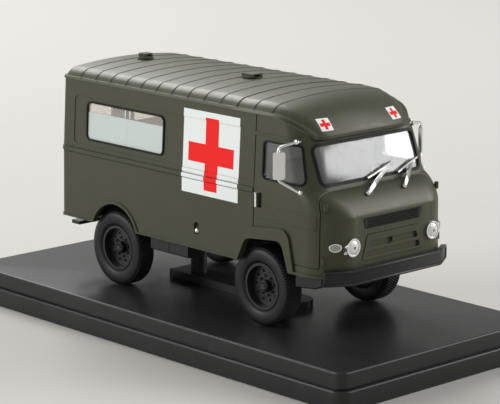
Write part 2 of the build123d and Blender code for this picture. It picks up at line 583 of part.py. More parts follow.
# Mirrors: a bent arm with a flat mirror head on each side, the left one set further forward
Mirror = namedtuple("Mirror", "name top_foot top_bend low_bend low_foot head turn")
for row in (Mirror("mirror_right", (72.0, -19.4, 50.8), (69.4, -25.2, 49.4), (69.4, -25.2, 40.8),
                   (75.4, -21.0, 37.0), (69.9, -25.6, 44.9), -36),
            Mirror("mirror_left", (73.0, 18.4, 50.8), (71.7, 24.6, 49.8), (71.7, 24.6, 41.2),
                   (76.4, 20.0, 37.0), (71.4, 24.9, 45.4), 36)):
    path = FilletPolyline(row.top_foot, row.top_bend, row.low_bend, row.low_foot, radius=1.2)
    arm = sweep(Plane(origin=path @ 0, z_dir=path % 0) * Circle(0.4), path)
    head = Box(0.9, 3.2, 7.0)
    head = Pos(*row.head) * Rot(0, 0, row.turn) * fillet(head.edges().filter_by(Axis.X), 0.5)
    save(row.name, sorted(((arm + head) - cab_form(0) - cab).solids(), key=lambda s: -s.volume)[0])

# Wipers
WIPER_GAP = 0.7
Wiper = namedtuple("Wiper", "name pivot tip low high")
for row in (Wiper("wiper_right", -5.8, (4.4, 41.2), (-2.8, 39.8), (7.0, 42.6)),
            Wiper("wiper_left", 7.6, (14.2, 41.2), (8.4, 39.8), (16.6, 42.6))):
    def on_screen(y, z):
        """A point just ahead of the windscreen."""
        return (SCREEN_FOOT_X - SCREEN_SLOPE * (z - SCREEN_FOOT_Z) + WIPER_GAP, y, z)

    stalk = bar_along((82.0, row.pivot, 36.9), on_screen(*row.tip), Rectangle(0.9, 0.6))
    blade = bar_along(on_screen(*row.low), on_screen(*row.high), Rectangle(0.5, 0.7))
    save(row.name, (stalk + blade) - cab_form(SEAL_RISE))

# Cab interior
bulkhead = (box_form(-WALL) & block(SEAM_X - WALL, SEAM_X, -60, 60, FLOOR_TOP, GUTTER_Z)) - above_gutter(0)
for cut in both_sides(block(40, 70, -60, -(WELL_INNER_Y - WELL_WALL), 0, SEAT_FOOT)):
    bulkhead = bulkhead - cut
save("bulkhead", bulkhead)
cover = block(SEAM_X, 80.0, -5.0, 5.0, FLOOR_TOP, 31.0)
save("engine_cover", fillet(cover.edges().filter_by(Axis.X).sort_by(Axis.Z)[-2:], 1.2))
seat = block(60.0, 69.0, -17.0, -6.0, SEAT_FOOT, 29.5) + block(58.6, 61.0, -17.0, -6.0, SEAT_FOOT, 43.0)
save("seats", both_sides(fillet(seat.edges().filter_by(Axis.Y), 0.6)))
dash = cab_form(-WALL) & block(74.0, 90, -60, 60, 32.6, 36.4)
save("dashboard", dash)
tilt = Pos(70.4, 11.5, 37.6) * Rot(0, 50, 0)
column = bar_along((70.4, 11.5, 37.6), (75.0, 11.5, 33.74), Circle(0.5))
ring = revolve(Plane.XZ * Pos(3.7, 0) * RegularPolygon(0.4, 6), Axis.Z)
save("steering_wheel", tilt * ring + tilt * Box(0.7, 7.4, 0.5) + column - dash)
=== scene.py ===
"""Looks of a display scale model: an olive ambulance van with red crosses, held on a black plinth.

The frame is the model's own: +X towards the van's nose, +Y to its left, +Z up, in metres, with the origin at
the centre of the plinth's underside. The van's sizes are given in millimetres from its rear axle and from the
plinth's top; Van holds the offsets into the frame.
"""

import logging
import math
from dataclasses import dataclass, replace
from enum import Enum

import bmesh
import bpy
import numpy as np
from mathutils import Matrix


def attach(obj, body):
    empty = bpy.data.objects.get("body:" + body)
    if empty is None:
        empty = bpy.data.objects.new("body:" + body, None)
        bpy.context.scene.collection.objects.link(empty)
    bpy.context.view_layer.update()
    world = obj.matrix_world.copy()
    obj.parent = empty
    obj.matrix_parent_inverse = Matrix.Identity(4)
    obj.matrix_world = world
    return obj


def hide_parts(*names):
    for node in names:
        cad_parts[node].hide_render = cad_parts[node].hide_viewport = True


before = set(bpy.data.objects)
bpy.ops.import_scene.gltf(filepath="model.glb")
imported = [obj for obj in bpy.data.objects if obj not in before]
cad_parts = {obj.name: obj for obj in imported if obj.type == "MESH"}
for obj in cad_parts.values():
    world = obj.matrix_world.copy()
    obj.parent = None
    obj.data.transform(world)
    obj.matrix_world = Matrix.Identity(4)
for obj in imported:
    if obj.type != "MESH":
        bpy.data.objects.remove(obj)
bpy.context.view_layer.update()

LOG = logging.getLogger("ambulance_model")
MM = 0.001
ROOT = "model"
FULL_TURN = 2 * math.pi
# Points nearer than this, in metres, become one: in a new piece, and in a CAD node's modifier.
JOIN = 5e-7
WELD = 2e-6
# The share of a section that is left where an end is drawn in to a point.
TIP = 1e-4

Socket = bpy.types.NodeSocket
Feed = float | tuple[float, ...] | Socket
Colour = tuple[float, float, float]
Point = tuple[float, float, float]
Box = tuple[float, float, float, float]


class PrintFace(Enum):
    """The face of the body that a print lies on."""

    SIDE = "side"
    DOME = "dome"


class Side(Enum):
    """A side of the van, with the sign of its y."""

    RIGHT = -1
    LEFT = 1

    @property
    def label(self) -> str:
        """The side's name as the nodes spell it."""
        return self.name.lower()


@dataclass(frozen=True)
class Van:
    """The van's main places and sizes in millimetres."""

    rear_axle_x: float = -28.0
    ground: float = 9.5
    wheelbase: float = 58.5
    axle_z: float = 10.6
    belt_z: float = 36.3
    gutter_z: float = 56.0
    sill_z: float = 17.0
    half_sill: float = 22.95
    half_belt: float = 22.6
    half_gutter: float = 21.5

    def z(self, height: float) -> float:
        """The frame's z in metres of a height above the plinth."""
        return (self.ground + height) * MM

    def half_width(self, height: float) -> float:
        """Half the body's width in millimetres at a height: it leans out to the sill and in to the gutter."""
        if height < self.belt_z:
            share = (self.belt_z - height) / (self.belt_z - self.sill_z)
            return self.half_belt + (self.half_sill - self.half_belt) * share
        share = (height - self.belt_z) / (self.gutter_z - self.belt_z)
        return self.half_belt - (self.half_belt - self.half_gutter) * share


VAN = Van()


class Graph:
    """A material's node tree with short ways to add the nodes that the finishes need."""

    def __init__(self, name: str) -> None:
        """Start a material with one principled shader.

        Args:
            name: The material's name.
        """
        self.material = bpy.data.materials.new(name)
        self.material.use_nodes = True
        self.tree = self.material.node_tree
        self.tree.nodes.clear()
        self.shader = self.node("ShaderNodeBsdfPrincipled")
        output = self.node("ShaderNodeOutputMaterial")
        self.link(self.shader.outputs["BSDF"], output.inputs["Surface"])
        self._place = self.node("ShaderNodeTexCoord").outputs["Object"]
        self._axes = self.node("ShaderNodeSeparateXYZ")
        self.link(self._place, self._axes.inputs[0])

    def node(self, kind: str, **settings: object) -> bpy.types.Node:
        """Add a node of a kind with some of its settings."""
        made = self.tree.nodes.new(kind)
        for key, value in settings.items():
            setattr(made, key, value)
        return made

    def link(self, start: Socket, end: Socket) -> None:
        """Join an output to an input."""
        self.tree.links.new(start, end)

    def feed(self, value: Feed, end: Socket) -> None:
        """Put a number, a colour or another node's output into an input."""
        if isinstance(value, Socket):
            self.link(value, end)
        else:
            end.default_value = value

    def shade(self, **values: Feed) -> None:
        """Feed the shader's inputs, each given by its name with underscores for spaces."""
        for name, value in values.items():
            self.feed(value, self.shader.inputs[name.replace("_", " ")])

    def axis(self, letter: str) -> Socket:
        """One of the piece's own coordinates, in metres."""
        return self._axes.outputs[letter]

    def along(self) -> Socket:
        """The place along the van from its rear axle, in millimetres."""
        return self.calc("SUBTRACT", self.calc("DIVIDE", self.axis("X"), MM), VAN.rear_axle_x)

    def aside(self) -> Socket:
        """The distance from the van's middle plane, in millimetres."""
        return self.calc("ABSOLUTE", self.calc("DIVIDE", self.axis("Y"), MM))

    def height(self) -> Socket:
        """The height above the plinth, in millimetres."""
        return self.calc("SUBTRACT", self.calc("DIVIDE", self.axis("Z"), MM), VAN.ground)

    def outward(self, letter: str) -> Socket:
        """One of the surface normal's parts."""
        parts = self.node("ShaderNodeSeparateXYZ")
        self.link(self.node("ShaderNodeNewGeometry").outputs["Normal"], parts.inputs[0])
        return parts.outputs[letter]

    def sideways(self) -> Socket:
        """The normal's y times the place's y: above nought outside the body's sides and below it inside."""
        return self.calc("MULTIPLY", self.outward("Y"), self.axis("Y"))

    def calc(self, operation: str, *values: Feed) -> Socket:
        """Work out a sum of numbers or sockets.

        Args:
            operation: The math node's operation.
            values: Its inputs in order.

        Returns:
            The result's socket.
        """
        made = self.node("ShaderNodeMath", operation=operation)
        for value, end in zip(values, made.inputs):
            self.feed(value, end)
        return made.outputs[0]

    def within(self, value: Feed, centre: float, half: float) -> Socket:
        """One where a value is within half of a centre, and nought elsewhere."""
        return self.calc("COMPARE", value, centre, half)

    def both(self, first: Socket, second: Socket) -> Socket:
        """One where both masks are one."""
        return self.calc("MULTIPLY", first, second)

    def either(self, first: Socket, second: Socket) -> Socket:
        """One where either mask is one."""
        return self.calc("MAXIMUM", first, second)

    def mix(self, share: Feed, first: Feed, second: Feed) -> Socket:
        """A colour between two colours by a share."""
        made = self.node("ShaderNodeMix", data_type="RGBA")
        self.feed(share, made.inputs[0])
        for value, end in ((first, made.inputs[6]), (second, made.inputs[7])):
            self.feed((*value, 1.0) if isinstance(value, tuple) else value, end)
        return made.outputs[2]

    def noise(self, scale: float, detail: float = 3.0) -> Socket:
        """A noise value on the piece's own coordinates, with so many waves a metre."""
        made = self.node("ShaderNodeTexNoise")
        self.link(self._place, made.inputs["Vector"])
        made.inputs["Scale"].default_value = scale
        made.inputs["Detail"].default_value = detail
        return made.outputs["Fac"]

    def span(self, value: Socket, low: Feed, high: Feed) -> Socket:
        """A value from nought to one carried to the span from low to high."""
        made = self.node("ShaderNodeMapRange")
        self.feed(value, made.inputs["Value"])
        self.feed(low, made.inputs["To Min"])
        self.feed(high, made.inputs["To Max"])
        return made.outputs["Result"]

    def relief(self, height: Socket, depth: float, edge: float = 0.0) -> None:
        """Give the surface a relief, and soft edges where a radius is given.

        Args:
            height: The relief from nought to one.
            depth: Its depth in metres.
            edge: The radius in metres to which sharp edges look rounded.
        """
        bump = self.node("ShaderNodeBump")
        bump.inputs["Strength"].default_value = 1.0
        bump.inputs["Distance"].default_value = depth
        self.link(height, bump.inputs["Height"])
        if edge > 0:
            soft = self.node("ShaderNodeBevel", samples=4)
            soft.inputs["Radius"].default_value = edge
            self.link(soft.outputs["Normal"], bump.inputs["Normal"])
        self.link(bump.outputs["Normal"], self.shader.inputs["Normal"])


def scaled(colour: Colour, share: float) -> Colour:
    """A colour with its parts times a share."""
    return tuple(part * share for part in colour)


@dataclass(frozen=True)
class CrossPrint:
    """A white field with an upright red cross on it, the common mark of a medical service.

    On the sides the print runs along the van and up, and on the dome it runs out from the middle and up. Sizes
    are in millimetres. The bars are boxes: a centre and half sizes.
    """

    face: PrintFace
    centre: tuple[float, float]
    half: tuple[float, float]
    upright: Box
    crossbar: Box
    lean: float = 0.0
    facing: float = 0.05
    white: Colour = (0.88, 0.94, 0.94)
    red: Colour = (0.97, 0.026, 0.023)
    red_shine: float = 0.2

    def masks(self, graph: Graph) -> tuple[Socket, Socket]:
        """Work out where the print lies.

        Args:
            graph: The paint's nodes.

        Returns:
            The field's mask and the cross's mask.
        """
        high = graph.height()
        if self.face is PrintFace.SIDE:
            along = graph.along()
            seen = graph.calc("GREATER_THAN", graph.sideways(), 0.0)
        else:
            rise = graph.calc("SUBTRACT", high, self.centre[1])
            along = graph.calc("ADD", graph.aside(), graph.calc("MULTIPLY", rise, self.lean))
            seen = graph.calc("GREATER_THAN", graph.outward("X"), self.facing)
        ground = self._patch(graph, along, high, (*self.centre, *self.half))
        bars = [self._patch(graph, along, high, bar) for bar in (self.upright, self.crossbar)]
        return graph.both(ground, seen), graph.both(graph.either(*bars), seen)

    @staticmethod
    def _patch(graph: Graph, along: Socket, high: Socket, box: Box) -> Socket:
        """The mask of a box given by its centre and half sizes."""
        return graph.both(graph.within(along, box[0], box[2]), graph.within(high, box[1], box[3]))


@dataclass(frozen=True)
class Finish:
    """A moulded, painted or plated surface: a drifting colour, a drifting gloss and a fine grain.

    It may carry prints, dark seams at distances from the middle plane, and painted light: a pale colour on the
    faces inside the body.
    """

    name: str
    colour: Colour
    drift: float = 0.10
    drift_waves: float = 90.0
    roughness: float = 0.5
    roughness_drift: float = 0.06
    gloss_waves: float = 400.0
    metallic: float = 0.0
    specular: float = 0.5
    shine_tint: Colour = (1.0, 1.0, 1.0)
    coat: float = 0.0
    grain: float = 3000.0
    grain_depth: float = 2e-6
    edge: float = 0.0
    prints: tuple[CrossPrint, ...] = ()
    # Painted light: a pale colour on faces inside the body, where the normal's y times the place's y is below the
    # limit.
    painted_inside_light: Colour | None = None
    painted_light_limit: float = -0.002
    seams: tuple[float, ...] = ()
    seam_half: float = 0.11
    seam_colour: Colour = (0.001, 0.001, 0.001)

    def make(self) -> bpy.types.Material:
        """Build the finish's material.

        Returns:
            The material.
        """
        graph = Graph(self.name)
        cloud = graph.noise(self.drift_waves, 4.0)
        colour = graph.mix(cloud, scaled(self.colour, 1 - self.drift), scaled(self.colour, 1 + self.drift))
        low, high = self.roughness - self.roughness_drift, self.roughness + self.roughness_drift
        gloss = graph.span(graph.noise(self.gloss_waves), low, high)
        shine: Feed = self.specular
        for mark in self.prints:
            field, cross = mark.masks(graph)
            colour = graph.mix(cross, graph.mix(field, colour, mark.white), mark.red)
            shine = graph.span(cross, self.specular, self.specular * mark.red_shine)
        for place in self.seams:
            colour = graph.mix(graph.within(graph.aside(), place, self.seam_half), colour, self.seam_colour)
        if self.painted_inside_light is not None:
            # Painted light: faces inside the body take a pale colour, which lightens what shows through the
            # windows.
            inside = graph.calc("LESS_THAN", graph.sideways(), self.painted_light_limit)
            colour = graph.mix(inside, colour, self.painted_inside_light)
        graph.shade(Base_Color=colour, Roughness=gloss, Metallic=self.metallic, Specular_IOR_Level=shine,
                    Specular_Tint=(*self.shine_tint, 1.0), Coat_Weight=self.coat)
        graph.relief(graph.noise(self.grain, 2.0), self.grain_depth, self.edge)
        return graph.material


@dataclass(frozen=True)
class Glazing:
    """Clear plastic glazing with some haze, printed white below a height where one is given.

    The print has one upright joint, at a place along the van.
    """

    name: str
    tint: Colour = (0.93, 0.96, 0.95)
    haze: float = 0.0
    roughness: float = 0.03
    smear_waves: float = 150.0
    smear_depth: float = 1.5e-6
    smear_span: tuple[float, float] = (0.6, 1.6)
    bending: float = 1.45
    frosted_below: float | None = None
    frost: Colour = (0.61, 0.69, 0.66)
    frost_roughness: float = 0.22
    joint: float = 6.0
    joint_half: float = 0.13
    joint_shade: float = 0.88

    def make(self) -> bpy.types.Material:
        """Build the glazing's material.

        Returns:
            The material.
        """
        graph = Graph(self.name)
        smear = graph.noise(self.smear_waves)
        rough = graph.span(smear, *(self.roughness * share for share in self.smear_span))
        clear = 1.0 - self.haze
        if self.frosted_below is None:
            graph.shade(Base_Color=(*self.tint, 1.0), Transmission_Weight=clear)
        else:
            frosted = graph.calc("LESS_THAN", graph.axis("Z"), VAN.z(self.frosted_below))
            seam = graph.within(graph.along(), self.joint, self.joint_half)
            white = graph.mix(seam, self.frost, scaled(self.frost, self.joint_shade))
            graph.shade(Base_Color=graph.mix(frosted, self.tint, white),
                        Transmission_Weight=graph.span(frosted, clear, 0.0))
            rough = graph.calc("ADD", rough, graph.calc("MULTIPLY", frosted, self.frost_roughness))
        graph.shade(Roughness=rough, IOR=self.bending)
        graph.relief(smear, self.smear_depth)
        return graph.material


@dataclass(frozen=True)
class LampLens:
    """A lamp's lens: bright foil seen through fluted clear plastic, with a dark bulb in the middle."""

    name: str
    middle: tuple[float, float]
    bulb: float
    foil: Colour
    foil_waves: float = 700.0
    foil_shade: float = 0.86
    foil_metal: float = 0.15
    bulb_colour: Colour = (0.05, 0.05, 0.05)
    gloss_waves: float = 900.0
    gloss_span: tuple[float, float] = (0.16, 0.30)
    coat_roughness: float = 0.03
    flute: float = 0.42
    flute_depth: float = 4e-5

    def make(self) -> bpy.types.Material:
        """Build the lens's material.

        Returns:
            The material.
        """
        graph = Graph(self.name)
        out = graph.calc("SUBTRACT", graph.calc("ABSOLUTE", graph.axis("Y")), self.middle[0] * MM)
        up = graph.calc("SUBTRACT", graph.axis("Z"), VAN.z(self.middle[1]))
        squares = [graph.calc("MULTIPLY", part, part) for part in (out, up)]
        dark = graph.calc("LESS_THAN", graph.calc("SQRT", graph.calc("ADD", *squares)), self.bulb * MM)
        foil = graph.mix(graph.noise(self.foil_waves), scaled(self.foil, self.foil_shade), self.foil)
        graph.shade(Base_Color=graph.mix(dark, foil, self.bulb_colour), Metallic=self.foil_metal,
                    Roughness=graph.span(graph.noise(self.gloss_waves), *self.gloss_span),
                    Coat_Weight=1.0, Coat_Roughness=self.coat_roughness)
        wave = graph.calc("SINE", graph.calc("MULTIPLY", graph.axis("Y"), FULL_TURN / (self.flute * MM)))
        graph.relief(graph.span(wave, 0.0, 0.5), self.flute_depth)
        return graph.material


SIDE_CROSS = CrossPrint(PrintFace.SIDE, (40.45, 42.9), (10.95, 11.1), upright=(40.75, 42.85, 2.55, 9.65),
                        crossbar=(40.45, 42.85, 8.85, 2.55))
DOME_CROSS = CrossPrint(PrintFace.DOME, (12.5, 54.15), (1.85, 1.4), upright=(12.5, 54.15, 0.45, 1.12),
                        crossbar=(12.5, 54.15, 1.55, 0.38), lean=0.1)
# Painted light: the pale colour of the faces inside the body's sides, which lightens what shows through the
# windows.
PAINTED_INSIDE_LIGHT: Colour = (0.34, 0.33, 0.30)
OLIVE: Colour = (0.044, 0.048, 0.026)


class Finishes:
    """Every finish on the model, each built once."""

    def __init__(self) -> None:
        """Build the materials."""
        paint = Finish("olive_paint", OLIVE, roughness=0.41, specular=0.45, shine_tint=(1.0, 0.97, 0.86),
                       grain=2600.0, grain_depth=3e-6, edge=0.00010)
        self.paint = paint.make()
        self.side_paint = replace(paint, name="olive_paint_side_cross", prints=(SIDE_CROSS,), painted_inside_light=PAINTED_INSIDE_LIGHT).make()
        self.dome_paint = replace(paint, name="olive_paint_dome_cross", prints=(DOME_CROSS,)).make()
        self.black = Finish("black_moulding", (0.014, 0.014, 0.015), drift=0.2, roughness=0.48, specular=0.4,
                            grain=1800.0, grain_depth=5e-6, edge=0.00008).make()
        self.bumper = Finish("black_bumper", (0.0075, 0.0075, 0.009), drift=0.15, roughness=0.30, specular=0.35,
                             grain=1500.0, grain_depth=3e-6, edge=0.00028, seams=(16.2,)).make()
        self.lip = Finish("bumper_lip", (0.012, 0.012, 0.0135), drift=0.15, roughness=0.34, grain=1500.0,
                          grain_depth=3e-6).make()
        self.plinth = Finish("plinth_moulding", (0.024, 0.0245, 0.025), drift=0.2, roughness=0.30,
                             roughness_drift=0.05, specular=0.25, grain=700.0, grain_depth=4e-6,
                             edge=0.0001).make()
        self.grille = Finish("grille_moulding", (0.012, 0.013, 0.009), drift=0.15, specular=0.3).make()
        self.seal = Finish("seal_rubber", (0.006, 0.006, 0.007), drift=0.2, specular=0.2, grain_depth=4e-6,
                           edge=0.00006).make()
        self.tyre = Finish("tyre_rubber", (0.012, 0.0126, 0.0145), drift=0.25, roughness=0.46,
                           roughness_drift=0.08, specular=0.32, grain=1400.0, grain_depth=8e-6).make()
        self.wheel = Finish("wheel_moulding", (0.011, 0.0116, 0.013), drift=0.2, roughness=0.38, grain=1400.0,
                            grain_depth=4e-6, edge=0.00008).make()
        self.chrome = Finish("bright_plating", (0.78, 0.78, 0.77), drift=0.04, roughness=0.10,
                             roughness_drift=0.04, metallic=1.0, edge=0.00006).make()
        self.steel = Finish("plain_steel", (0.56, 0.56, 0.57), drift=0.08, roughness=0.28, metallic=1.0,
                            grain=4000.0).make()
        self.pin = Finish("blackened_pin", (0.06, 0.06, 0.062), drift=0.15, roughness=0.36, metallic=0.8,
                          grain=4000.0).make()
        self.mirror = Finish("mirror_backing", (0.86, 0.86, 0.85), drift=0.04, roughness=0.18,
                             metallic=1.0).make()
        cabin = Finish("cabin_moulding", (0.30, 0.29, 0.275), drift=0.12, roughness=0.55, grain=1600.0,
                       grain_depth=6e-6)
        self.interior = cabin.make()
        self.bar = replace(cabin, name="bar_moulding", colour=(0.84, 0.83, 0.79)).make()
        self.seat = Finish("seat_moulding", (0.16, 0.158, 0.15), drift=0.2, roughness=0.6, grain=1500.0,
                           grain_depth=1e-5).make()
        self.clear = Glazing("clear_glazing", haze=0.05).make()
        self.screen = Glazing("screen_glazing", haze=0.04, roughness=0.06).make()
        self.frosted = Glazing("frosted_glazing", (0.95, 0.89, 0.82), haze=0.24, frosted_below=47.7).make()
        self.headlight = LampLens("headlight_lens", (14.6, 24.7), 0.42, (0.88, 0.88, 0.87)).make()
        self.indicator = LampLens("indicator_lens", (19.3, 25.0), 0.0, (0.36, 0.36, 0.35), flute=0.5).make()
        self.red_lens = Finish("red_lens", (0.42, 0.016, 0.014), roughness=0.14, coat=1.0, grain=900.0,
                               grain_depth=1.5e-5).make()


def lattice(name: str, grid: np.ndarray, round_u: bool, round_v: bool) -> bpy.types.Object:
    """Make one closed or open surface from a grid of points.

    Each cell of the grid becomes one four-sided face. A direction that closes joins its last row to its first.
    If the faces' signed volume is negative, every face is turned round, so that all point outwards. Points that
    fall together, such as a drawn-in end, are joined to one.

    Args:
        name: The piece's name.
        grid: Points as an array of (shells, rows, columns, 3), in metres.
        round_u: Whether rows close on themselves.
        round_v: Whether columns close on themselves.

    Returns:
        The new object.
    """
    shells, rows, cols, _ = grid.shape
    r = np.arange(rows if round_u else rows - 1)
    c = np.arange(cols if round_v else cols - 1)
    base = (np.arange(shells) * rows * cols)[:, None, None]
    r0, r1 = r[None, :, None] * cols, ((r + 1) % rows)[None, :, None] * cols
    c0, c1 = c[None, None, :], ((c + 1) % cols)[None, None, :]
    corners = [base + r0 + c0, base + r1 + c0, base + r1 + c1, base + r0 + c1]
    quads = np.stack(corners, -1).reshape(-1, 4)
    points = grid.reshape(-1, 3)
    arms = points[quads] - points.mean(0)
    volume = np.einsum("ij,ij->i", arms[:, 0], np.cross(arms[:, 1], arms[:, 2])).sum()
    volume += np.einsum("ij,ij->i", arms[:, 0], np.cross(arms[:, 2], arms[:, 3])).sum()
    quads = quads[:, ::-1] if volume < 0 else quads
    mesh = bpy.data.meshes.new(name)
    mesh.vertices.add(len(points))
    mesh.vertices.foreach_set("co", points.astype(np.float32).ravel())
    mesh.loops.add(quads.size)
    mesh.loops.foreach_set("vertex_index", quads.astype(np.int32).ravel())
    mesh.polygons.add(len(quads))
    mesh.polygons.foreach_set("loop_start", np.arange(0, quads.size, 4, dtype=np.int32))
    mesh.update(calc_edges=True)
    mesh.validate()
    joined = bmesh.new()
    joined.from_mesh(mesh)
    bmesh.ops.remove_doubles(joined, verts=joined.verts, dist=JOIN)
    joined.to_mesh(mesh)
    joined.free()
    made = bpy.data.objects.new(name, mesh)
    bpy.context.scene.collection.objects.link(made)
    return made


def squared(values: np.ndarray) -> np.ndarray:
    """Sines or cosines drawn out to a superellipse of exponent four: the root of each, with its sign."""
    return np.sign(values) * np.abs(values) ** 0.5


def rounded_bars(name: str, ends: np.ndarray, out: np.ndarray, width: float, depth: float) -> bpy.types.Object:
    """Make straight bars with softened edges.

    Each bar carries a superellipse of exponent four, width across and depth outwards, along its line. Its ends
    draw in to a smaller section and then to a point, so the bar is closed.

    Args:
        name: The piece's name.
        ends: Starts and ends as an array of (bars, 2, 3), in millimetres of the frame.
        out: The outward direction of each bar as an array of (bars, 3).
        width: The bars' width in millimetres.
        depth: The bars' depth in millimetres.

    Returns:
        The new object.
    """
    sides, inset_share, end_share = 16, 0.3, 0.7
    along = ends[:, 1] - ends[:, 0]
    length = np.linalg.norm(along, axis=1, keepdims=True)
    along = along / length
    out = out / np.linalg.norm(out, axis=1, keepdims=True)
    across = np.cross(along, out)
    turn = np.linspace(0, FULL_TURN, sides + 1)[:-1]
    section = np.stack([squared(np.cos(turn)) * width / 2, squared(np.sin(turn)) * depth / 2], -1)
    inset = min(width, depth) * inset_share
    shrink = np.array([TIP, end_share, 1.0, 1.0, end_share, TIP])
    start = np.zeros_like(length)
    place = np.stack([start, start, start + inset, length - inset, length, length], 1)
    line = ends[:, None, 0] + along[:, None] * place
    ring = section[None, :, 0, None] * across[:, None] + section[None, :, 1, None] * out[:, None]
    grid = line[:, :, None] + shrink[None, :, None, None] * ring[:, None]
    return lattice(name, grid * MM, False, True)


def beads(name: str, centres: np.ndarray, half: Point) -> bpy.types.Object:
    """Make round pads of one size.

    Each pad is an ellipsoid: its half sizes times the sines and cosines of a polar and a round angle.

    Args:
        name: The piece's name.
        centres: The pads' middles as an array of (pads, 3), in millimetres of the frame.
        half: Their half sizes along the axes in millimetres.

    Returns:
        The new object.
    """
    rings, sides = 12, 20
    fall = np.linspace(0, math.pi, rings + 1)[:, None]
    turn = np.linspace(0, FULL_TURN, sides + 1)[None, :-1]
    ball = np.stack([np.sin(fall) * np.cos(turn), np.sin(fall) * np.sin(turn), np.cos(fall) + 0 * turn], -1)
    return lattice(name, (centres[:, None, None] + np.array(half) * ball[None]) * MM, False, True)


def dress(node: str, material: bpy.types.Material, smooth: float = 32.0) -> None:
    """Give a node its finish and smooth its facets up to an angle.

    Args:
        node: The node's name.
        material: Its finish.
        smooth: The angle in degrees above which an edge stays sharp.
    """
    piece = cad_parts[node]
    piece.data.materials.clear()
    piece.data.materials.append(material)
    piece.data.polygons.foreach_set("use_smooth", np.ones(len(piece.data.polygons), bool))
    weld = piece.modifiers.new("weld", "WELD")
    weld.merge_threshold = WELD
    split = piece.modifiers.new("creases", "EDGE_SPLIT")
    split.split_angle = math.radians(smooth)
    LOG.info("dressed %s in %s", node, material.name)


def add(piece: bpy.types.Object, body: str, material: bpy.types.Material, smooth: bool = True) -> None:
    """Give a new piece its finish and its body.

    Args:
        piece: The piece.
        body: The body that it moves with.
        material: Its finish.
        smooth: Whether its facets are smoothed.
    """
    piece.data.materials.append(material)
    piece.data.polygons.foreach_set("use_smooth", np.full(len(piece.data.polygons), smooth))
    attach(piece, body)
    LOG.info("added %s on %s", piece.name, body)


@dataclass
class Plinth:
    """The two-step plinth with the pedestal that holds the van."""

    finishes: Finishes

    def dress(self) -> None:
        """Dress the plinth, the pedestal and its screws."""
        dress("plinth", self.finishes.plinth)
        dress("pedestal", self.finishes.black)
        dress("pedestal_screws", self.finishes.steel)


@dataclass
class RunningGear:
    """The frame under the floor with axles, springs and drive line."""

    finishes: Finishes
    nodes: tuple[str, ...] = ("frame", "floor_pan", "wheel_wells_rear", "wheel_wells_front", "rear_axle_housing",
                              "front_axle_housing", "leaf_springs", "transfer_case", "drive_shafts",
                              "sill_lockers", "rear_step")

    def dress(self) -> None:
        """Dress the running gear in black."""
        for node in self.nodes:
            dress(node, self.finishes.black)


@dataclass(frozen=True)
class Nuts:
    """A ring of hexagon nuts on a wheel, with sizes in millimetres.

    The section gives each nut's height and radius as shares of the full ones, from its seat to its stud's end.
    """

    name: str
    count: int
    circle: float
    radius: float
    height: float
    face: float
    turn: float = 0.2
    section: tuple[tuple[float, float], ...] = ((-0.05, TIP), (-0.05, 1.0), (0.75, 1.0), (1.0, 0.8), (1.0, 0.45),
                                                (1.5, 0.45), (1.55, TIP))


